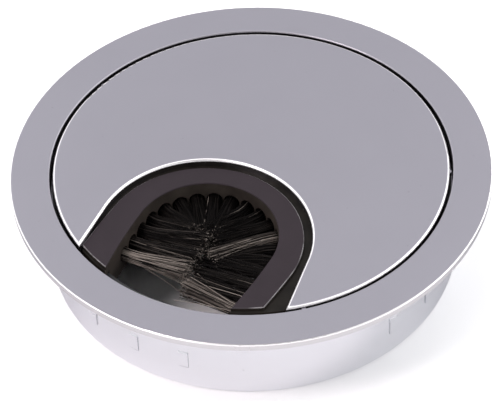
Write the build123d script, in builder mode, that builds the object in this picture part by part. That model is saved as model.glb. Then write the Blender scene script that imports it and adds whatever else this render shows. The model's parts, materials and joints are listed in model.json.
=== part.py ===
from build123d import *
import math
import os

# A desk cable grommet: a metal ring drops into a round hole in the desk top and a round lid
# lies in it, flush. The lid has a U-shaped notch for the cables, closed by a black brush.
# Units are millimetres and +Z is up. The origin is the centre of the desk hole, on the desk's
# top surface, and the notch in the lid opens towards -Y.

# Housing ring, the piece that stays in the desk
FLANGE_R = 46.25
FLANGE_T = 1.4
FLANGE_EDGE_ROUND = 0.25
SKIRT_R = 39.8
SKIRT_BORE_R = 38.0
SKIRT_BOTTOM = -19.0
POCKET_R = 38.7
LEDGE_R = 36.8
LEDGE_TOP = -3.0
LEDGE_T = 1.5
SMALL_ROUND = 0.3

# Grip ribs on the outside of the skirt, in four groups of three
RIB_GROUPS = 4
RIBS_IN_GROUP = 3
RIB_PITCH_DEG = 15.0
FIRST_RIB_GROUP_DEG = -9.4
RIB_W = 1.8
RIB_TOP = -9.2
RIB_BOTTOM = -14.2
RIB_RAMP = 0.7
RIB_PROUD = 0.18
RIB_ROOT = 0.2

# Glide ring, which turns on the ledge and carries the lid
GLIDE_R = 38.4
GLIDE_T = 0.8
GLIDE_COLLAR_R = 36.73
GLIDE_BORE_R = 36.0
GLIDE_COLLAR_BOTTOM = -4.3
HOOK_R = 37.25
HOOK_TOP = -4.6
HOOK_BOTTOM = -5.6
HOOKS = 4
HOOK_ARC_DEG = 16.0
FIRST_HOOK_DEG = 45.0

# Lid
LID_R = 38.1
LID_T = 1.6
LID_TOP = FLANGE_T
LID_RIM_BORE_R = 36.6
LID_EDGE_ROUND = 0.55
LID_STIFFENER_W = 1.2
LID_STIFFENER_H = 1.4
LID_STIFFENER_DEGS = (45, 90, 135)
LID_STIFFENER_INNER_R = 19.0
NOTCH_X = -0.35
NOTCH_Y = -20.75
NOTCH_R = 20.4
NOTCH_FLARE = 0.9
NOTCH_TURN_DEG = 3.0
PIP_R = 0.5
PIP_PROUD = 0.3
PIP_H = 1.0
PIPS = 4
PIP_PITCH_DEG = 72.0
FIRST_PIP_DEG = -51.0
LUG_W = 6.0
LUG_DEPTH = 1.0
LUG_H = 0.7
LUG_CENTRE_R = 37.35
LUGS = 3
FIRST_LUG_DEG = 90.0
LUG_PLAY = 0.2

# Brush, which sits a little askew in the notch
BRUSH_X = -0.6
BRUSH_Y = -20.4
BRUSH_TURN_DEG = -3.0
BODY_R = 19.2
BODY_DRAW_IN = 1.3
PLATEAU_X = -0.7
PLATEAU_Y = -20.75
PLATEAU_TURN_DEG = -6.5
PLATEAU_DROP = 1.0
PLATEAU_R = 19.15
PLATEAU_DRAW_IN = 0.9
PLATEAU_EDGE = 0.15
BRUSH_MOUTH_R = 13.8
BRUSH_MOUTH_BACK = 0.9
BRUSH_MOUTH_DRAW_IN = 1.4
ARM_REACH = 18.0
PLATEAU_END_R = 36.6
PLATEAU_END_X = -0.8
ARM_END_R = 37.2
ARM_END_X = -0.4
ARM_PLAY = 0.2
SHOULDER_R = 24.6
SHOULDER_T = 1.65
SHOULDER_LIMIT_R = 36.2
INNER_LIMIT_R = 35.7
SPLIT_Z = -3.8
CLAMP_BOTTOM = -7.0
CLAMP_EAR_T = 1.6

# Screws through the clamp into the lid's bosses
SCREW_CIRCLE_R = 24.0
SCREW_DEGS = (5, 60, 120, 175)
BOSS_R = 2.3
BOSS_PLAY = 0.15
EAR_R = 3.4
PILOT_R = 1.1
PILOT_TOP = -0.9
SCREW_R = 1.05
SCREW_TOP = -1.3
SCREW_HEAD_R = 2.1
SCREW_HEAD_H = 1.4
SCREW_HOLE_R = 1.25
CROSS_W = 0.6
CROSS_L = 2.2
CROSS_DEPTH = 0.7

# Bristle tufts, held between holder and clamp by one wire
TUFT_R = 1.35
TUFT_TIP_R = 0.6
TUFT_BACK_TIP_R = 0.42
TUFT_PITCH_DEG = 14.2
BACK_TUFTS = 12
ARM_TUFT_PITCH = 3.45
FIRST_ARM_TUFT_DROP = 0.6
LEFT_ARM_TUFTS = 3
RIGHT_ARM_TUFTS = 4
TUFT_PIVOT_IN = 0.6
BACK_TIP_R = 4.6
ARM_TIP_X = 1.3
SEAT_R = 1.55
SEAT_DEPTH = 3.8
ROOT_R = 1.45
ROOT_SETBACK = 1.1
ROOT_END = 3.6
WIRE_R = 0.35
WIRE_HOLE_R = 0.4
WIRE_SETBACK = 2.6

LID_UNDERSIDE = LID_TOP - LID_T
RIM_BOTTOM = LEDGE_TOP + GLIDE_T
PLATEAU_TOP = LID_TOP - PLATEAU_DROP
SHOULDER_BOTTOM = LID_UNDERSIDE - SHOULDER_T
CLEAR = 2.0



def turned_plane(x, y, turn_deg):
    """A level plane with its origin at (x, y), turned about Z."""
    turn = math.radians(turn_deg)
    return Plane(origin=(x, y, 0), x_dir=(math.cos(turn), math.sin(turn), 0), z_dir=(0, 0, 1))


notch_plane = turned_plane(NOTCH_X, NOTCH_Y, NOTCH_TURN_DEG)
brush_plane = turned_plane(BRUSH_X, BRUSH_Y, BRUSH_TURN_DEG)
plateau_plane = turned_plane(PLATEAU_X, PLATEAU_Y, PLATEAU_TURN_DEG)


def horseshoe(half_width, back, draw_in):
    """A U outline that opens towards -Y: a half circle of half_width about (0, back), and two
    arms that run ARM_REACH beyond it and draw in by draw_in at their ends."""
    with BuildLine() as outline:
        bow = CenterArc((0, back), half_width, 0, 180)
        right_end = (half_width - draw_in, back - ARM_REACH)
        left_end = (draw_in - half_width, back - ARM_REACH)
        if draw_in > 0:
            TangentArc(bow @ 0, right_end, tangent=(0, -1))
            TangentArc(bow @ 1, left_end, tangent=(0, -1))
        else:
            Line(bow @ 0, right_end)
            Line(bow @ 1, left_end)
    return outline


def u_face(half_width, back, draw_in):
    """The face inside a horseshoe outline, closed straight across the ends of its arms."""
    outline = horseshoe(half_width, back, draw_in)
    ends = outline.vertices().group_by(Axis.Y)[0].sort_by(Axis.X)
    return make_face(outline.edges() + [Edge.make_line(ends[0], ends[1])], mode=Mode.PRIVATE)


def notch_face(play):
    """The face that the notch cuts out of the lid, smaller by play."""
    return notch_plane.location * u_face(NOTCH_R - play, 0, -NOTCH_FLARE)


def brush_face(half_width, back, draw_in):
    """A horseshoe face, moved to where the brush sits."""
    return brush_plane.location * u_face(half_width, back, draw_in)


def arm_draw_in(drop):
    """How far the brush mouth's side has drawn in at a distance drop along the arm."""
    arc_r = (ARM_REACH**2 + BRUSH_MOUTH_DRAW_IN**2) / (2 * BRUSH_MOUTH_DRAW_IN)
    return arc_r - math.sqrt(arc_r**2 - drop**2)


def rib_angles():
    """The directions of the grip ribs in degrees, group by group."""
    angles = []
    for group in range(RIB_GROUPS):
        middle = -90 + FIRST_RIB_GROUP_DEG + group * 360 / RIB_GROUPS
        first = middle - (RIBS_IN_GROUP - 1) * RIB_PITCH_DEG / 2
        angles += [first + rib * RIB_PITCH_DEG for rib in range(RIBS_IN_GROUP)]
    return angles


def tuft_planes():
    """One plane per tuft, from the left arm's end round the back to the right arm's end. Its
    origin is the point that the tuft bends about, its Z runs along the tuft and its Y is up.
    Each comes with the tuft's free length and the radius of its tip."""
    seats = []
    for i in reversed(range(LEFT_ARM_TUFTS)):
        drop = FIRST_ARM_TUFT_DROP + i * ARM_TUFT_PITCH
        x = -(BRUSH_MOUTH_R - arm_draw_in(drop) - TUFT_PIVOT_IN)
        seats.append((x, BRUSH_MOUTH_BACK - drop, 1, 0, -ARM_TIP_X - x, TUFT_TIP_R))
    pivot_r = BRUSH_MOUTH_R - TUFT_PIVOT_IN
    for i in range(BACK_TUFTS):
        angle = math.radians(90 + ((BACK_TUFTS - 1) / 2 - i) * TUFT_PITCH_DEG)
        dx, dy = math.cos(angle), math.sin(angle)
        x, y = pivot_r * dx, BRUSH_MOUTH_BACK + pivot_r * dy
        seats.append((x, y, -dx, -dy, pivot_r - BACK_TIP_R, TUFT_BACK_TIP_R))
    for i in range(RIGHT_ARM_TUFTS):
        drop = FIRST_ARM_TUFT_DROP + i * ARM_TUFT_PITCH
        x = BRUSH_MOUTH_R - arm_draw_in(drop) - TUFT_PIVOT_IN
        seats.append((x, BRUSH_MOUTH_BACK - drop, -1, 0, x - ARM_TIP_X, TUFT_TIP_R))
    planes = []
    for x, y, dx, dy, length, tip_r in seats:
        origin = brush_plane.from_local_coords((x, y, SPLIT_Z))
        ahead = brush_plane.from_local_coords((x + dx, y + dy, SPLIT_Z))
        along = ahead - origin
        side = Vector(-along.Y, along.X, 0)
        planes.append((Plane(origin=origin, x_dir=side, z_dir=along), length, tip_r))
    return planes


def cut_tuft_seats():
    """Bore the round seats of all tufts into the part being built."""
    for plane, _, _ in tuft_planes():
        with BuildSketch(plane.offset(-TUFT_PIVOT_IN - SEAT_DEPTH)) as seat:
            Circle(SEAT_R)
        extrude(seat.sketch, amount=SEAT_DEPTH + CLEAR, mode=Mode.SUBTRACT)


def run_wire(radius, mode):
    """Add or remove a round bar of the given radius along the line of the anchor wire."""
    route = horseshoe(BRUSH_MOUTH_R + WIRE_SETBACK, BRUSH_MOUTH_BACK, BRUSH_MOUTH_DRAW_IN)
    path = brush_plane.offset(SPLIT_Z).location * Wire(route.edges())
    with BuildSketch(Plane(origin=path @ 0, z_dir=path % 0)) as section:
        Circle(radius)
    sweep(section.sketch, path=path, mode=mode)


def screw_circles(radius):
    """Circles of the given radius about the four screws."""
    with BuildSketch() as circles:
        for angle in SCREW_DEGS:
            with PolarLocations(SCREW_CIRCLE_R, 1, start_angle=angle):
                Circle(radius)
    return brush_plane.location * circles.sketch


def screw_webs(radius):
    """Straight webs as wide as the ears, from each screw in to the body of the brush."""
    length = SCREW_CIRCLE_R - BODY_R + CLEAR
    with BuildSketch() as webs:
        for angle in SCREW_DEGS:
            with PolarLocations(SCREW_CIRCLE_R - length / 2, 1, start_angle=angle):
                Rectangle(length, 2 * radius)
    return brush_plane.location * webs.sketch


with BuildPart() as housing_ring:
    with BuildSketch(Plane.XZ):
        with BuildLine():
            Polyline(
                (POCKET_R, FLANGE_T),
                (FLANGE_R, FLANGE_T),
                (FLANGE_R, 0),
                (SKIRT_R, 0),
                (SKIRT_R, SKIRT_BOTTOM),
                (SKIRT_BORE_R, SKIRT_BOTTOM),
                (SKIRT_BORE_R, LEDGE_TOP - LEDGE_T),
                (LEDGE_R, LEDGE_TOP - LEDGE_T),
                (LEDGE_R, LEDGE_TOP),
                (POCKET_R, LEDGE_TOP),
                close=True,
            )
        make_face()
    revolve(axis=Axis.Z)
    rim_edges = housing_ring.edges().filter_by(GeomType.CIRCLE)
    fillet(rim_edges.group_by(Axis.Z)[-1].sort_by(SortBy.RADIUS)[-1], FLANGE_EDGE_ROUND)
    rim_edges = housing_ring.edges().filter_by(GeomType.CIRCLE)
    fillet(rim_edges.group_by(Axis.Z)[-1].sort_by(SortBy.RADIUS)[0], SMALL_ROUND)
    rim_edges = housing_ring.edges().filter_by(GeomType.CIRCLE)
    chamfer(rim_edges.group_by(Axis.Z)[0], SMALL_ROUND)
    for angle in rib_angles():
        with BuildSketch(Plane.XZ.rotated((0, 0, angle))):
            with BuildLine():
                Polyline(
                    (SKIRT_R - RIB_ROOT, RIB_TOP),
                    (SKIRT_R + RIB_PROUD, RIB_TOP - RIB_RAMP),
                    (SKIRT_R + RIB_PROUD, RIB_BOTTOM + RIB_RAMP),
                    (SKIRT_R - RIB_ROOT, RIB_BOTTOM),
                    close=True,
                )
            make_face()
        extrude(amount=RIB_W / 2, both=True)


with BuildPart() as glide_ring:
    with BuildSketch(Plane.XZ):
        with BuildLine():
            Polyline(
                (GLIDE_BORE_R, RIM_BOTTOM),
                (GLIDE_R, RIM_BOTTOM),
                (GLIDE_R, LEDGE_TOP),
                (GLIDE_COLLAR_R, LEDGE_TOP),
                (GLIDE_COLLAR_R, GLIDE_COLLAR_BOTTOM),
                (GLIDE_BORE_R, GLIDE_COLLAR_BOTTOM),
                close=True,
            )
        make_face()
    revolve(axis=Axis.Z)
    for hook in range(HOOKS):
        turned = Plane.XZ.rotated((0, 0, FIRST_HOOK_DEG - HOOK_ARC_DEG / 2 + hook * 360 / HOOKS))
        with BuildSketch(turned):
            with BuildLine():
                Polyline(
                    (GLIDE_BORE_R, GLIDE_COLLAR_BOTTOM),
                    (GLIDE_COLLAR_R, GLIDE_COLLAR_BOTTOM),
                    (GLIDE_COLLAR_R, HOOK_TOP),
                    (HOOK_R, HOOK_TOP),
                    (GLIDE_COLLAR_R, HOOK_BOTTOM),
                    (GLIDE_BORE_R, HOOK_BOTTOM),
                    close=True,
                )
            make_face()
        revolve(axis=Axis.Z, revolution_arc=HOOK_ARC_DEG)
    with BuildSketch(Plane.XY.offset(LEDGE_TOP)):
        with PolarLocations(LUG_CENTRE_R, LUGS, start_angle=FIRST_LUG_DEG):
            Rectangle(LUG_DEPTH + 2 * LUG_PLAY, LUG_W + 2 * LUG_PLAY)
    extrude(amount=GLIDE_T, mode=Mode.SUBTRACT)


with BuildPart() as lid:
    with BuildSketch(Plane.XY.offset(LID_UNDERSIDE)):
        Circle(LID_R)
    extrude(amount=LID_T)
    with BuildSketch(Plane.XY.offset(RIM_BOTTOM)):
        Circle(LID_R)
        Circle(LID_RIM_BORE_R, mode=Mode.SUBTRACT)
    extrude(amount=LID_UNDERSIDE - RIM_BOTTOM)
    with BuildSketch(Plane.XY.offset(RIM_BOTTOM - CLEAR)):
        add(notch_face(0))
    extrude(amount=LID_TOP - RIM_BOTTOM + 2 * CLEAR, mode=Mode.SUBTRACT)
    fillet(lid.faces().sort_by(Axis.Z)[-1].edges(), LID_EDGE_ROUND)
    with BuildSketch(Plane.XY.offset(LID_UNDERSIDE - LID_STIFFENER_H)):
        for angle in LID_STIFFENER_DEGS:
            length = LID_RIM_BORE_R + LID_T / 2 - LID_STIFFENER_INNER_R
            with PolarLocations(LID_STIFFENER_INNER_R + length / 2, 1, start_angle=angle):
                Rectangle(length, LID_STIFFENER_W)
    extrude(amount=LID_STIFFENER_H)
    with BuildSketch(Plane.XY.offset(SPLIT_Z)):
        add(screw_circles(BOSS_R))
    extrude(amount=LID_UNDERSIDE - SPLIT_Z)
    with BuildSketch(Plane.XY.offset(SPLIT_Z)):
        add(screw_circles(PILOT_R))
    extrude(amount=PILOT_TOP - SPLIT_Z, mode=Mode.SUBTRACT)
    with BuildSketch(Plane.XY.offset(RIM_BOTTOM - LUG_H)):
        with PolarLocations(LUG_CENTRE_R, LUGS, start_angle=FIRST_LUG_DEG):
            Rectangle(LUG_DEPTH, LUG_W)
    extrude(amount=LUG_H)
    with BuildSketch(Plane.XY.offset(LID_UNDERSIDE)):
        for pip in range(PIPS):
            angle = FIRST_PIP_DEG + pip * PIP_PITCH_DEG
            with PolarLocations(LID_R + PIP_PROUD - PIP_R, 1, start_angle=angle):
                Circle(PIP_R)
    extrude(amount=PIP_H)


with BuildPart() as brush_holder:
    with BuildSketch(Plane.XY.offset(SHOULDER_BOTTOM)):
        add(brush_face(SHOULDER_R, 0, BODY_DRAW_IN))
        add(screw_circles(EAR_R))
        Circle(SHOULDER_LIMIT_R, mode=Mode.INTERSECT)
    extrude(amount=SHOULDER_T)
    with BuildSketch(Plane.XY.offset(SHOULDER_BOTTOM)):
        add(notch_face(ARM_PLAY))
        with Locations((ARM_END_X, 0)):
            Circle(ARM_END_R, mode=Mode.INTERSECT)
    extrude(amount=SHOULDER_T)
    with BuildSketch(Plane.XY.offset(SHOULDER_BOTTOM)):
        add(plateau_plane.location * u_face(PLATEAU_R, 0, PLATEAU_DRAW_IN))
        with Locations((PLATEAU_END_X, 0)):
            Circle(PLATEAU_END_R, mode=Mode.INTERSECT)
    extrude(amount=PLATEAU_TOP - SHOULDER_BOTTOM)
    with BuildSketch(Plane.XY.offset(SPLIT_Z)):
        add(brush_face(BODY_R, 0, BODY_DRAW_IN))
        Circle(INNER_LIMIT_R, mode=Mode.INTERSECT)
    extrude(amount=SHOULDER_BOTTOM - SPLIT_Z)
    with BuildSketch(Plane.XY.offset(SPLIT_Z - CLEAR)):
        add(brush_face(BRUSH_MOUTH_R, BRUSH_MOUTH_BACK, BRUSH_MOUTH_DRAW_IN))
    extrude(amount=PLATEAU_TOP - SPLIT_Z + 2 * CLEAR, mode=Mode.SUBTRACT)
    with BuildSketch(Plane.XY.offset(SHOULDER_BOTTOM)):
        add(screw_circles(BOSS_R + BOSS_PLAY))
    extrude(amount=SHOULDER_T, mode=Mode.SUBTRACT)
    chamfer(brush_holder.faces().sort_by(Axis.Z)[-1].edges(), PLATEAU_EDGE)
    cut_tuft_seats()
    run_wire(WIRE_HOLE_R, Mode.SUBTRACT)


with BuildPart() as brush_clamp:
    with BuildSketch(Plane.XY.offset(CLAMP_BOTTOM)):
        add(brush_face(BODY_R, 0, BODY_DRAW_IN))
        Circle(INNER_LIMIT_R, mode=Mode.INTERSECT)
    extrude(amount=SPLIT_Z - CLAMP_BOTTOM)
    with BuildSketch(Plane.XY.offset(SPLIT_Z - CLAMP_EAR_T)):
        add(screw_circles(EAR_R))
        add(screw_webs(EAR_R))
    extrude(amount=CLAMP_EAR_T)
    with BuildSketch(Plane.XY.offset(CLAMP_BOTTOM - CLEAR)):
        add(brush_face(BRUSH_MOUTH_R, BRUSH_MOUTH_BACK, BRUSH_MOUTH_DRAW_IN))
    extrude(amount=SPLIT_Z - CLAMP_BOTTOM + 2 * CLEAR, mode=Mode.SUBTRACT)
    with BuildSketch(Plane.XY.offset(CLAMP_BOTTOM)):
        add(screw_circles(SCREW_HOLE_R))
    extrude(amount=SPLIT_Z - CLAMP_BOTTOM, mode=Mode.SUBTRACT)
    cut_tuft_seats()
    run_wire(WIRE_HOLE_R, Mode.SUBTRACT)


with BuildPart() as holder_screws:
    with BuildSketch(Plane.XY.offset(SPLIT_Z - CLAMP_EAR_T)):
        add(screw_circles(SCREW_R))
    extrude(amount=SCREW_TOP - SPLIT_Z + CLAMP_EAR_T)
    with BuildSketch(Plane.XY.offset(SPLIT_Z - CLAMP_EAR_T - SCREW_HEAD_H)):
        add(screw_circles(SCREW_HEAD_R))
    extrude(amount=SCREW_HEAD_H)
    head_rims = holder_screws.edges().filter_by(GeomType.CIRCLE).group_by(Axis.Z)[0]
    fillet(head_rims, SCREW_HEAD_H / 2)
    with BuildSketch(Plane.XY.offset(SPLIT_Z - CLAMP_EAR_T - SCREW_HEAD_H)):
        for angle in SCREW_DEGS:
            centre = brush_plane.from_local_coords(Vector(SCREW_CIRCLE_R, 0).rotate(Axis.Z, angle))
            with Locations((centre.X, centre.Y)):
                Rectangle(CROSS_L, CROSS_W)
                Rectangle(CROSS_W, CROSS_L)
    extrude(amount=CROSS_DEPTH, mode=Mode.SUBTRACT)


with BuildPart() as anchor_wire:
    run_wire(WIRE_R, Mode.ADD)
    with BuildSketch(Plane.XY.offset(SPLIT_Z - CLEAR)):
        Circle(INNER_LIMIT_R)
    extrude(amount=2 * CLEAR, mode=Mode.INTERSECT)


with BuildPart() as tuft_roots:
    for plane, _, _ in tuft_planes():
        with BuildSketch(plane.offset(-TUFT_PIVOT_IN - ROOT_END)):
            Circle(ROOT_R)
        extrude(amount=ROOT_END - ROOT_SETBACK)
    run_wire(WIRE_HOLE_R, Mode.SUBTRACT)
    with BuildSketch(Plane.XY.offset(SPLIT_Z - CLEAR)):
        Circle(FLANGE_R)
        Circle(INNER_LIMIT_R - SMALL_ROUND, mode=Mode.SUBTRACT)
    extrude(amount=2 * CLEAR, mode=Mode.SUBTRACT)


tufts = []
for number, (plane, length, tip_r) in enumerate(tuft_planes(), start=1):
    with BuildPart() as tuft:
        with BuildSketch(plane):
            Circle(TUFT_R)
        with BuildSketch(plane.offset(length)):
            Circle(tip_r)
        loft()
        with Locations(plane):
            Sphere(TUFT_R)
    tuft.part.label = f"tuft_{number:02d}"
    tufts.append(tuft.part)


housing_ring.part.label = "housing_ring"
glide_ring.part.label = "glide_ring"
lid.part.label = "lid"
brush_holder.part.label = "brush_holder"
brush_clamp.part.label = "brush_clamp"
holder_screws.part.label = "holder_screws"
anchor_wire.part.label = "anchor_wire"
tuft_roots.part.label = "tuft_roots"

os.makedirs("parts", exist_ok=True)
export_step(housing_ring.part, "parts/housing_ring.step")
export_step(glide_ring.part, "parts/glide_ring.step")
export_step(lid.part, "parts/lid.step")
export_step(brush_holder.part, "parts/brush_holder.step")
export_step(brush_clamp.part, "parts/brush_clamp.step")
export_step(holder_screws.part, "parts/holder_screws.step")
export_step(anchor_wire.part, "parts/anchor_wire.step")
export_step(tuft_roots.part, "parts/tuft_roots.step")
for tuft_part in tufts:
    export_step(tuft_part, f"parts/{tuft_part.label}.step")
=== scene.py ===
"""Desk grommet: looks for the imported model. Blender units are metres, in the model's own frame."""

import json
import math
import random

import bpy
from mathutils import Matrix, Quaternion, Vector


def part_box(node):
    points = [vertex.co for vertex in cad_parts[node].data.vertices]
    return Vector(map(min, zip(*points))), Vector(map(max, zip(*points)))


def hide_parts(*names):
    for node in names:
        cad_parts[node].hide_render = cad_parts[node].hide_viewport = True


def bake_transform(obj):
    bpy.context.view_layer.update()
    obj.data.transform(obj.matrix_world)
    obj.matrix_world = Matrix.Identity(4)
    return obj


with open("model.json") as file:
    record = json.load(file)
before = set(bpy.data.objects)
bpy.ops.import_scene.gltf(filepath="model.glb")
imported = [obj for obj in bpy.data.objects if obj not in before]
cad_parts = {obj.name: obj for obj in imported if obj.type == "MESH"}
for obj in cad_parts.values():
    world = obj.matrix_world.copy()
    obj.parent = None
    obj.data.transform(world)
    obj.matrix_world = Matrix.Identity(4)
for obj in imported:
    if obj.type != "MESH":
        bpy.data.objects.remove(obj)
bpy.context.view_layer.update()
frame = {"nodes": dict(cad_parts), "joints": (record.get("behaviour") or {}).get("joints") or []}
nodes = frame["nodes"]
joints = {joint["name"]: joint for joint in frame["joints"]}
MM = 0.001
UP = Vector((0, 0, 1))
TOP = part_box("housing_ring")[1].z
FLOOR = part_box("housing_ring")[0].z
PLATEAU_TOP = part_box("brush_holder")[1].z
LID_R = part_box("lid")[1].x
TUFTS = sorted(name for name in nodes if name.startswith("tuft_") and name != "tuft_roots")
TUFT_PIVOTS = [Vector(joints[name + "_flex"]["pos_m"]) for name in TUFTS]
MOUTH = sum(TUFT_PIVOTS, Vector()) / len(TUFT_PIVOTS)
WHITE = (1.0, 1.0, 1.0)


# ---------------------------------------------------------------- camera

# The camera stands in front and to the right, and looks a little past the middle of the lid.
# Angles are in degrees.
CAMERA_AZIMUTH = 26.05
CAMERA_ELEVATION = 44.32
CAMERA_ROLL = -2.34
CAMERA_DISTANCE = 0.486
SENSOR_MM = 36.0
LENS_MM = 183.9
# How far the view turns away from the lid's middle, in radians.
AIM_YAW = -0.0017
AIM_PITCH = -0.0140


def direction(azimuth, elevation):
    """The unit vector towards a place in the room; azimuth 0 is in front of the notch."""
    turn, rise = math.radians(azimuth), math.radians(elevation)
    level = math.cos(rise)
    return Vector((math.sin(turn) * level, -math.cos(turn) * level, math.sin(rise)))


def make_camera():
    """A long lens that looks down on the lid from the front right."""
    back = direction(CAMERA_AZIMUTH, CAMERA_ELEVATION)
    right = direction(CAMERA_AZIMUTH + 90, 0)
    ahead = -back
    up = right.cross(ahead)
    turned = ahead * math.cos(AIM_YAW) + right * math.sin(AIM_YAW)
    right = right * math.cos(AIM_YAW) - ahead * math.sin(AIM_YAW)
    aim = turned * math.cos(AIM_PITCH) + up * math.sin(AIM_PITCH)
    up = up * math.cos(AIM_PITCH) - turned * math.sin(AIM_PITCH)
    roll = math.radians(CAMERA_ROLL)
    screen_right = right * math.cos(roll) + up * math.sin(roll)
    screen_up = up * math.cos(roll) - right * math.sin(roll)

    data = bpy.data.cameras.new("camera")
    data.sensor_width = SENSOR_MM
    data.lens = LENS_MM
    data.clip_start, data.clip_end = 0.01, 20.0
    camera = bpy.data.objects.new("camera", data)
    bpy.context.scene.collection.objects.link(camera)
    rotation = (screen_right, screen_up, -aim)
    for column in range(3):
        for row in range(3):
            camera.matrix_world[row][column] = rotation[column][row]
    camera.location = Vector((0, 0, TOP)) + back * CAMERA_DISTANCE
    bpy.context.scene.camera = camera


# ---------------------------------------------------------------- light and floor

# Brightness of the light tent's walls at their foot, of its roof, and of the dark opening that
# the camera looks in through.
TENT_FOOT = 1.48
TENT_ROOF = 0.68
TENT_OPENING = 0.10
TENT_COLOUR = (0.98, 0.98, 1.0)
# The walls dim with height, which is the sine of the elevation.
WALL_LOW = 0.2
WALL_HIGH = 1.0
# The opening is a soft-edged round patch; its sizes are cosines of half its width.
OPENING_TOWARDS = direction(15, 50)
OPENING_EDGE = math.cos(math.radians(33))
OPENING_CORE = math.cos(math.radians(21))

SOFTBOX_DISTANCE = 0.8
PINK = (1.0, 0.90, 0.92)

FLOOR_HALF_WIDTH = 2.0


def make_world():
    """A light tent: white walls, a dimmer roof, and a dark opening round the camera."""
    world = bpy.data.worlds.new("studio")
    bpy.context.scene.world = world
    world.use_nodes = True
    tree = world.node_tree
    coordinates = tree.nodes.new("ShaderNodeTexCoord").outputs["Generated"]
    height = tree.nodes.new("ShaderNodeSeparateXYZ")
    towards = tree.nodes.new("ShaderNodeVectorMath")
    towards.operation = "DOT_PRODUCT"
    towards.inputs[1].default_value = OPENING_TOWARDS
    tree.links.new(coordinates, height.inputs[0])
    tree.links.new(coordinates, towards.inputs[0])

    wall = tree.nodes.new("ShaderNodeMapRange")
    wall.inputs["From Min"].default_value = WALL_LOW
    wall.inputs["From Max"].default_value = WALL_HIGH
    wall.inputs["To Min"].default_value = TENT_FOOT
    wall.inputs["To Max"].default_value = TENT_ROOF
    tree.links.new(height.outputs["Z"], wall.inputs["Value"])
    level = tree.nodes.new("ShaderNodeMapRange")
    level.inputs["From Min"].default_value = OPENING_EDGE
    level.inputs["From Max"].default_value = OPENING_CORE
    level.inputs["To Max"].default_value = TENT_OPENING
    tree.links.new(towards.outputs["Value"], level.inputs["Value"])
    tree.links.new(wall.outputs["Result"], level.inputs["To Min"])
    background = tree.nodes["Background"]
    background.inputs["Color"].default_value = (*TENT_COLOUR, 1)
    tree.links.new(level.outputs["Result"], background.inputs["Strength"])


def make_softbox(name, towards, size, power, colour=WHITE):
    """A flat rectangular light that faces the grommet from an azimuth and elevation."""
    centre = direction(*towards) * SOFTBOX_DISTANCE
    data = bpy.data.lights.new(name, "AREA")
    data.shape = "RECTANGLE"
    data.size, data.size_y = size
    data.energy = power
    data.color = colour
    light = bpy.data.objects.new(name, data)
    bpy.context.scene.collection.objects.link(light)
    light.location = centre
    light.rotation_mode = "QUATERNION"
    light.rotation_quaternion = (-centre).to_track_quat("-Z", "Y")


def make_floor():
    """A plain pale table top under the skirt."""
    half = FLOOR_HALF_WIDTH
    mesh = bpy.data.meshes.new("floor")
    outline = ((-half, -half), (half, -half), (half, half), (-half, half))
    corners = [(x, y, FLOOR) for x, y in outline]
    mesh.from_pydata(corners, [], [(0, 1, 2, 3)])
    floor = bpy.data.objects.new("floor", mesh)
    bpy.context.scene.collection.objects.link(floor)
    material = bpy.data.materials.new("floor")
    material.use_nodes = True
    shader = material.node_tree.nodes["Principled BSDF"]
    shader.inputs["Base Color"].default_value = (0.985, 0.985, 0.99, 1)
    shader.inputs["Roughness"].default_value = 0.7
    shader.inputs["Specular IOR Level"].default_value = 0.2
    mesh.materials.append(material)


# ---------------------------------------------------------------- materials


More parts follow.
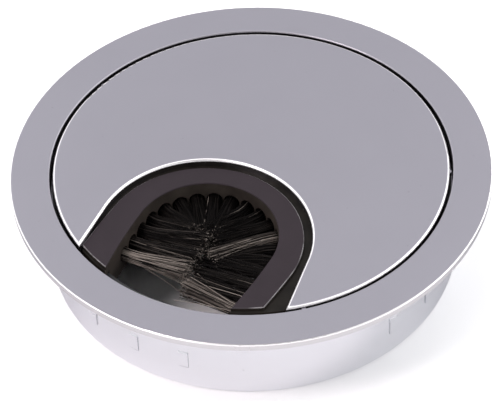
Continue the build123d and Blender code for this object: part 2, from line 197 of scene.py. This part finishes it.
class Shader:
    """A small helper that wires one Principled material. Masks run from 0 to 1."""

    def __init__(self, name, colour, metallic=0.0, roughness=0.5, specular=0.5):
        self.material = bpy.data.materials.new(name)
        self.material.use_nodes = True
        self.tree = self.material.node_tree
        self.bsdf = self.tree.nodes["Principled BSDF"]
        self.bsdf.inputs["Base Color"].default_value = (*colour, 1)
        self.bsdf.inputs["Metallic"].default_value = metallic
        self.bsdf.inputs["Roughness"].default_value = roughness
        self.bsdf.inputs["Specular IOR Level"].default_value = specular
        self.place = self.node("ShaderNodeTexCoord").outputs["Object"]

    def node(self, kind, **settings):
        made = self.tree.nodes.new(kind)
        for key, value in settings.items():
            setattr(made, key, value)
        return made

    def link(self, source, target):
        self.tree.links.new(source, target)

    def facing(self):
        """The direction that the surface faces."""
        return self.node("ShaderNodeNewGeometry").outputs["Normal"]

    def split(self, vector):
        """The X, Y and Z outputs of a vector, by letter."""
        made = self.node("ShaderNodeSeparateXYZ")
        self.link(vector, made.inputs[0])
        return made.outputs

    def noise(self, scale, detail=4.0, roughness=0.55):
        """Noise over the object, scale in features per metre."""
        texture = self.node("ShaderNodeTexNoise")
        texture.inputs["Scale"].default_value = scale
        texture.inputs["Detail"].default_value = detail
        texture.inputs["Roughness"].default_value = roughness
        self.link(self.place, texture.inputs["Vector"])
        return texture.outputs["Fac"]

    def remap(self, value, low, high, to_low, to_high):
        """A value taken from one range to another, clamped at both ends."""
        made = self.node("ShaderNodeMapRange")
        made.inputs["From Min"].default_value = low
        made.inputs["From Max"].default_value = high
        made.inputs["To Min"].default_value = to_low
        made.inputs["To Max"].default_value = to_high
        self.link(value, made.inputs["Value"])
        return made.outputs["Result"]

    def mask(self, value, none_at, full_at):
        """0 where the value is at none_at, 1 where it is at full_at."""
        return self.remap(value, none_at, full_at, 0.0, 1.0)

    def math(self, operation, first, second):
        """A sum, product and so on of two outputs or numbers."""
        made = self.node("ShaderNodeMath", operation=operation)
        for index, value in enumerate((first, second)):
            if isinstance(value, (int, float)):
                made.inputs[index].default_value = value
            else:
                self.link(value, made.inputs[index])
        return made.outputs[0]

    def both(self, *masks):
        """The product of several masks."""
        product = masks[0]
        for mask in masks[1:]:
            product = self.math("MULTIPLY", product, mask)
        return product

    def mix(self, factor, first, second):
        """A colour between two colours, each a tuple or an output."""
        made = self.node("ShaderNodeMix", data_type="RGBA")
        self.link(factor, made.inputs["Factor"])
        for key, colour in (("A", first), ("B", second)):
            socket = next(s for s in made.inputs if s.name == key and s.type == "RGBA")
            if isinstance(colour, tuple):
                socket.default_value = (*colour, 1)
            else:
                self.link(colour, socket)
        return next(s for s in made.outputs if s.type == "RGBA")

    def mix_values(self, factor, first, second):
        """A value between two outputs."""
        made = self.node("ShaderNodeMix", data_type="FLOAT")
        self.link(factor, made.inputs["Factor"])
        self.link(first, made.inputs["A"])
        self.link(second, made.inputs["B"])
        return made.outputs["Result"]

    def colour(self, output):
        self.base = output
        self.link(output, self.bsdf.inputs["Base Color"])

    def roughness(self, output):
        self.link(output, self.bsdf.inputs["Roughness"])

    def bump(self, *layers):
        """Stacked bumps, each (height output, strength, distance in metres)."""
        normal = None
        for height, strength, distance in layers:
            made = self.node("ShaderNodeBump")
            made.inputs["Strength"].default_value = strength
            made.inputs["Distance"].default_value = distance
            self.link(height, made.inputs["Height"])
            if normal:
                self.link(normal, made.inputs["Normal"])
            normal = made.outputs["Normal"]
        self.link(normal, self.bsdf.inputs["Normal"])


def satin_metal():
    """Chrome on a zinc casting: satin ground on the flat tops, glossier and wavier on the rounded
    edges and the skirt, and dull inside the ring and under the lid. Its colours are lit and shaded
    copies of one chrome: the flat tops are painted darker, the rounded edges carry a painted
    highlight, the skirt a painted reflection of the pale floor, and the inside of the ring and the
    lid's underside are painted near black as painted shade."""
    s = Shader("satin_metal", (0.40, 0.39, 0.44), metallic=1.0, roughness=0.3)
    s.bsdf.inputs["Specular Tint"].default_value = (0.55, 0.55, 0.57, 1)
    normal, place = s.split(s.facing()), s.split(s.place)
    grain = s.noise(5200, detail=3)
    clouds = s.noise(60, detail=3)
    pits = s.remap(s.noise(900, detail=2, roughness=0.4), 0.24, 0.20, 0.0, 0.30)

    # How far the surface faces away from the ring's axis, times its distance from the axis.
    outward = s.math("ADD", *(s.math("MULTIPLY", normal[axis], place[axis]) for axis in "XY"))
    flat_top = s.mask(normal["Z"], 0.93, 0.99)
    leans_up = s.mask(normal["Z"], 0.1, 0.3)
    underneath = s.mask(normal["Z"], -0.7, -0.9)
    inside = s.mask(outward, -8 * MM, -16 * MM)
    near_top = s.mask(place["Z"], TOP - 2.0 * MM, TOP - 1.0 * MM)
    under_top = s.mask(place["Z"], TOP - 1.0 * MM, TOP - 2.0 * MM)
    # Dull, and painted near black as painted shade, inside the ring and under the lid.
    dull_and_shaded_inside = s.both(s.math("MAXIMUM", inside, underneath), under_top)
    rounded_edge = s.both(leans_up, near_top)

    # The upright sides are painted lighter than the flat tops: a painted reflection of the pale
    # floor.
    side = s.mix(clouds, (0.50, 0.50, 0.54), (0.59, 0.59, 0.625))
    # Painted light: the skirt is painted lighter towards its bottom, against the shade that falls
    # there by the floor.
    side = s.mix(s.mask(place["Z"], 0.0, FLOOR), side, (0.80, 0.80, 0.83))
    # Painted shade: the flange's upright band is painted darker, to hold down its reflection of the
    # floor.
    flange_band_shade = s.mask(place["Z"], TOP - 2.0 * MM, TOP - 1.4 * MM)
    side = s.mix(flange_band_shade, side, (0.49, 0.475, 0.49))
    # Painted shade: the sloping upper ends of the ribs are painted darker, to hold down the light
    # they catch from above.
    rib_end_shade = s.both(leans_up, s.mask(place["Z"], TOP - 5 * MM, TOP - 6 * MM))
    side = s.mix(rib_end_shade, side, (0.49, 0.49, 0.512))

    from_axis = s.node("ShaderNodeVectorMath", operation="LENGTH")
    s.link(s.place, from_axis.inputs[0])
    past_lid = s.mask(from_axis.outputs["Value"], LID_R, LID_R + 0.1 * MM)
    # Painted shade: the ring's inner arris next to the lid is painted dark, to dim its highlight.
    seam_edge_shade = s.both(past_lid, s.mask(outward, -4 * MM, -12 * MM))
    # Painted highlight: the rounded edges near the top are painted near white.
    edge = s.mix(rounded_edge, side, s.mix(seam_edge_shade, (0.84, 0.82, 0.83), (0.30, 0.29, 0.32)))

    # Painted shade: the flat tops are painted darker than the sides and edges of the same chrome;
    # the clouds vary its tone.
    face = s.mix(clouds, (0.346, 0.335, 0.377), (0.367, 0.355, 0.398))
    plated = s.mix(flat_top, edge, face)
    plated = s.mix(pits, plated, (0.18, 0.17, 0.18))
    # Painted shade: near black, varied by the grain, for the inside of the ring and the lid's
    # underside.
    painted_shade_inside = s.mix(grain, (0.022, 0.016, 0.022), (0.044, 0.034, 0.044))
    s.colour(s.mix(dull_and_shaded_inside, plated, painted_shade_inside))

    satin = s.remap(grain, 0.3, 0.7, 0.28, 0.36)
    gloss = s.remap(clouds, 0.3, 0.7, 0.16, 0.28)
    gloss = s.math("MAXIMUM", gloss, s.remap(rounded_edge, 0.0, 1.0, 0.0, 0.36))
    finish = s.mix_values(flat_top, gloss, satin)
    s.roughness(s.math("MAXIMUM", finish, s.remap(dull_and_shaded_inside, 0.0, 1.0, 0.0, 0.6)))
    s.bump((grain, 0.10, 0.02 * MM), (s.noise(140, detail=2), 0.12, 0.4 * MM))
    return s.material


def black_plastic(name, colour, roughness, specular):
    """Moulded black plastic with a fine spark-eroded grain."""
    s = Shader(name, colour, roughness=roughness, specular=specular)
    patches = s.noise(180, detail=4)
    s.colour(s.mix(patches, tuple(c * 0.85 for c in colour), tuple(c * 1.2 for c in colour)))
    s.roughness(s.remap(patches, 0.3, 0.7, roughness - 0.06, roughness + 0.08))
    s.bump((s.noise(3800, detail=3), 0.35, 0.03 * MM), (s.noise(420, detail=2), 0.12, 0.08 * MM))
    return s


def holder_plastic():
    """The holder's plastic: an even top face whose outer bevels are painted pale in patches, partly
    scuffed and partly a painted highlight, a groove round it painted darker as painted shade, and
    brownish upright walls."""
    s = black_plastic("black_plastic", (0.024, 0.018, 0.022), roughness=0.45, specular=0.12)
    facing = s.facing()
    normal, place = s.split(facing), s.split(s.place)
    streaks = s.mask(s.noise(260, detail=4), 0.35, 0.7)
    # Painted shade: the lowered groove is painted darker than the top face; the streaks vary its
    # tone.
    groove = s.mix(streaks, (0.004, 0.003, 0.002), (0.011, 0.009, 0.007))
    wall = s.mix(streaks, (0.026, 0.021, 0.018), (0.045, 0.037, 0.031))
    upright = s.mask(normal["Z"], 0.8, 0.4)
    lowered = s.mask(place["Z"], PLATEAU_TOP - 0.16 * MM, PLATEAU_TOP - 0.30 * MM)
    body = s.mix(lowered, s.base, s.mix(upright, groove, wall))

    from_mouth = s.node("ShaderNodeVectorMath", operation="SUBTRACT")
    from_mouth.inputs[1].default_value = MOUTH
    s.link(s.place, from_mouth.inputs[0])
    facing_out = s.node("ShaderNodeVectorMath", operation="DOT_PRODUCT")
    s.link(from_mouth.outputs["Vector"], facing_out.inputs[0])
    s.link(facing, facing_out.inputs[1])
    outer = s.mask(facing_out.outputs["Value"], 4 * MM, 8 * MM)
    off_bevel = s.math("ABSOLUTE", s.math("SUBTRACT", normal["Z"], 0.7), 0.0)
    bevel = s.mask(off_bevel, 0.12, 0.04)
    # The outer bevels are painted pale in patches: partly scuffs, partly a painted highlight along
    # the edge.
    scuffs_and_highlight = s.remap(s.noise(220, detail=3), 0.38, 0.58, 0.15, 1.0)
    s.colour(s.mix(s.both(bevel, outer, scuffs_and_highlight), body, (0.24, 0.23, 0.235)))
    return s.material


def bristle_material():
    """Black nylon filaments, each with its own tint held in the fibre attribute: pale tints are
    partly worn colour and partly painted sheen, and the faint grey of the rest and the lighter
    streaks along them are painted sheen.
    """
    s = Shader("bristle", (0.01, 0.009, 0.009), roughness=0.4, specular=0.06)
    tint = s.node("ShaderNodeAttribute", attribute_name="fibre")
    along = s.noise(700, detail=3)
    # Pale fibres: partly worn colour, partly painted sheen.
    worn_and_sheen = s.mix(along, (0.22, 0.187, 0.165), (0.58, 0.51, 0.45))
    # Painted sheen: the black is a little lighter in streaks along the fibres.
    black = s.mix(along, (0.0012, 0.0009, 0.0011), (0.0034, 0.0026, 0.0026))
    s.colour(s.mix(tint.outputs["Fac"], black, worn_and_sheen))
    s.roughness(s.remap(along, 0.3, 0.7, 0.34, 0.50))
    s.bump((s.noise(6000, detail=2), 0.15, 0.01 * MM))
    return s.material


def zinc_steel():
    """Zinc plated steel for the screws and the anchor wire."""
    s = Shader("zinc_steel", (0.62, 0.62, 0.60), metallic=1.0, roughness=0.32)
    patches = s.noise(900, detail=4)
    s.colour(s.mix(patches, (0.52, 0.53, 0.53), (0.70, 0.69, 0.64)))
    s.roughness(s.remap(patches, 0.3, 0.7, 0.25, 0.42))
    s.bump((s.noise(4000, detail=3), 0.2, 0.02 * MM))
    return s.material


# ---------------------------------------------------------------- bristles

FIBRES_PER_TUFT = 190
FIBRE_R = 0.066 * MM
FIBRE_SIDES = 4
FIBRE_STEPS = 8
# A filament starts this far behind the mouth of its seat, and its cut end is this long.
FIBRE_START = -1.0 * MM
CUT_END = 0.22 * MM
SEAT_FILL_R = 1.26 * MM
# Spread of the filaments' ends along the tuft, in millimetres.
LENGTH_SPREAD = 0.9
# A filament runs straight for this share of its length, and then takes its lean within a fifth.
STRAIGHT_SHARE = 0.12
LEAN_RATE = 5
# Degrees that a filament at the tuft's rim fans out, and the spread of its lean and curl.
FAN_YAW, FAN_PITCH = 2.5, 3.0
LEAN_YAW, LEAN_PITCH = 2.0, 2.2
CURL_YAW, CURL_PITCH = 4, 5
SAG_PITCH = -3
# A few filaments stray, with this much more lean and curl than the rest.
STRAY_SHARE = 0.04
STRAY_FACTOR = 2.6
# Least and most tint of a pale filament, and of the nominal radius.
PALE_TINT = (0.3, 1.0)
RADIUS_RANGE = (0.8, 1.2)
# How much of a filament's tint is lost on the way to its end.
TIP_FADE = 0.5

# What sets single tufts apart: yaw and pitch of the whole tuft in degrees, its share of pale
# fibres (partly worn, partly painted sheen), the painted sheen of the rest, and how much longer
# it is than the solid it stands for, in millimetres.
PLAIN_TUFT = {"yaw": 0.0, "pitch": -5.0, "pale": 0.012, "painted_sheen": 0.04, "longer": 0.8}
SPECIAL_TUFTS = {
    "tuft_01": {"yaw": 4.0, "pitch": 4.0, "pale": 0.65, "painted_sheen": 0.3, "longer": 1.8},
    "tuft_02": {"yaw": 5.0, "pitch": 3.0, "pale": 0.05, "painted_sheen": 0.20, "longer": 1.8},
    "tuft_03": {"yaw": 9.0, "pitch": 4.0, "pale": 0.07, "painted_sheen": 0.20, "longer": 1.6},
    "tuft_04": {"yaw": 14.0, "pitch": 4.0, "pale": 0.06, "painted_sheen": 0.16},
    "tuft_05": {"yaw": 8.0, "pitch": 0.0, "pale": 0.03, "painted_sheen": 0.09},
    "tuft_10": {"yaw": -26.0, "longer": 3.0},
    "tuft_11": {"yaw": -20.0, "longer": 3.0},
    "tuft_12": {"yaw": -12.0, "longer": 3.0, "painted_sheen": 0.07},
    "tuft_13": {"yaw": 9.0, "pitch": -2.0, "pale": 0.42, "painted_sheen": 0.3, "longer": 5.0},
    "tuft_14": {"yaw": 7.0, "pitch": -9.0, "longer": 2.5, "painted_sheen": 0.07},
    "tuft_15": {"yaw": 5.0, "pitch": -9.0, "longer": 3.5, "painted_sheen": 0.06},
    "tuft_16": {"yaw": 4.0, "pitch": -9.0, "longer": 1.8, "painted_sheen": 0.06},
    "tuft_17": {"yaw": 2.0, "pitch": -8.0, "longer": 1.6, "painted_sheen": 0.07},
    "tuft_18": {"yaw": 0.0, "pitch": -7.0, "pale": 0.05, "painted_sheen": 0.09},
    "tuft_19": {"yaw": -5.0, "pitch": 4.0, "pale": 0.45, "painted_sheen": 0.3, "longer": 1.0},
}


def fibre_line(rng, pivot, along, side, length, style):
    """Points down the middle of one filament, from inside its seat to its free end."""
    reach, turn = SEAT_FILL_R * math.sqrt(rng.random()), rng.uniform(0, 2 * math.pi)
    across, above = reach * math.cos(turn), reach * math.sin(turn)
    stray = STRAY_FACTOR if rng.random() < STRAY_SHARE else 1.0
    fan_yaw = across / SEAT_FILL_R * FAN_YAW
    fan_pitch = above / SEAT_FILL_R * FAN_PITCH
    yaw = math.radians(style["yaw"] + fan_yaw + rng.gauss(0, LEAN_YAW) * stray)
    pitch = math.radians(style["pitch"] + fan_pitch + rng.gauss(0, LEAN_PITCH) * stray)
    curl_yaw = math.radians(rng.gauss(0, CURL_YAW) * stray)
    curl_pitch = math.radians(rng.gauss(SAG_PITCH, CURL_PITCH) * stray)
    step = (length - FIBRE_START) / FIBRE_STEPS
    point = pivot + side * across + UP * above + along * FIBRE_START
    points = [point.copy()]
    for index in range(FIBRE_STEPS):
        share = max(0.0, (index + 0.5) / FIBRE_STEPS - STRAIGHT_SHARE)
        bent = min(1.0, share * LEAN_RATE)
        turned = Quaternion(UP, yaw * bent + curl_yaw * share) @ along
        lifted = Quaternion(turned.cross(UP), pitch * bent + curl_pitch * share) @ turned
        point = point + lifted * step
        points.append(point.copy())
    points.insert(-1, points[-1] - lifted * CUT_END)
    return points


def add_tube(vertices, faces, points, radius):
    """A thin tube round a line of points, closed by a flat face at each end."""
    base = len(vertices)
    for index, point in enumerate(points):
        ahead = points[min(index + 1, len(points) - 1)] - points[max(index - 1, 0)]
        ahead.normalize()
        side = ahead.cross(UP)
        side.normalize()
        over = side.cross(ahead)
        for corner in range(FIBRE_SIDES):
            angle = 2 * math.pi * corner / FIBRE_SIDES
            vertices.append(point + (side * math.cos(angle) + over * math.sin(angle)) * radius)
    for index in range(len(points) - 1):
        ring = base + index * FIBRE_SIDES
        for corner in range(FIBRE_SIDES):
            a, b = ring + corner, ring + (corner + 1) % FIBRE_SIDES
            faces.append((a, b, b + FIBRE_SIDES, a + FIBRE_SIDES))
    last = base + (len(points) - 1) * FIBRE_SIDES
    faces.append(tuple(last + corner for corner in range(FIBRE_SIDES)))
    faces.append(tuple(base + corner for corner in reversed(range(FIBRE_SIDES))))


def make_tuft(name, material):
    """The filaments of one tuft, which stand for its plain solid and bend at its seat."""
    joint = joints[name + "_flex"]
    pivot = Vector(joint["pos_m"])
    along = Vector((-joint["axis"][1], joint["axis"][0], 0)).normalized()
    side = UP.cross(along)
    style = {**PLAIN_TUFT, **SPECIAL_TUFTS.get(name, {})}
    reach = max((vertex.co - pivot).dot(along) for vertex in nodes[name].data.vertices)
    rng = random.Random(name)
    vertices, faces, tints = [], [], []
    for _ in range(FIBRES_PER_TUFT):
        length = reach + style["longer"] * MM - abs(rng.gauss(0, LENGTH_SPREAD)) * MM
        points = fibre_line(rng, pivot, along, side, length, style)
        # Pale fibres are partly worn and partly painted sheen; the rest take the tuft's painted
        # sheen as their tint.
        pale = rng.random() < style["pale"]
        tint = rng.uniform(*PALE_TINT) if pale else style["painted_sheen"] * rng.random() ** 3
        add_tube(vertices, faces, points, FIBRE_R * rng.uniform(*RADIUS_RANGE))
        for index in range(len(points) - 1):
            tints += [tint * (1 - TIP_FADE * index / len(points))] * FIBRE_SIDES
        # Painted highlight: the cut end is painted lighter, where its end face catches the light.
        tints += [max(tint, rng.random() ** 2)] * FIBRE_SIDES
    mesh = bpy.data.meshes.new(name + "_bristles")
    mesh.from_pydata([tuple(v) for v in vertices], [], faces)
    mesh.attributes.new("fibre", "FLOAT", "POINT").data.foreach_set("value", tints)
    mesh.shade_smooth()
    mesh.materials.append(material)
    piece = bpy.data.objects.new(name + "_bristles", mesh)
    bpy.context.scene.collection.objects.link(piece)
    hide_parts(name)
    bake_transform(piece)


# ---------------------------------------------------------------- build


def dress(node, material):
    """Give a CAD node its finished material."""
    node.data.materials.clear()
    node.data.materials.append(material)


make_camera()
make_world()
make_softbox("top_softbox", towards=(206, 88), size=(0.70, 0.70), power=1.6)
make_softbox("front_softbox", towards=(-36, 50), size=(0.24, 0.24), power=3.0, colour=PINK)
make_softbox("left_softbox", towards=(-105, 32), size=(0.70, 0.60), power=0.8)
make_softbox("right_softbox", towards=(134, 35), size=(1.00, 1.00), power=3.5)
make_floor()

metal = satin_metal()
bristle = bristle_material()
moulded = holder_plastic()
nylon = black_plastic("black_nylon", (0.020, 0.020, 0.022), roughness=0.40, specular=0.3).material
steel = zinc_steel()
for part, finish in (
    ("housing_ring", metal),
    ("lid", metal),
    ("glide_ring", nylon),
    ("brush_holder", moulded),
    ("brush_clamp", moulded),
    ("holder_screws", steel),
    ("anchor_wire", steel),
    ("tuft_roots", bristle),
):
    dress(nodes[part], finish)
for tuft in TUFTS:
    make_tuft(tuft, bristle)

bpy.context.scene.view_settings.view_transform = "Standard"
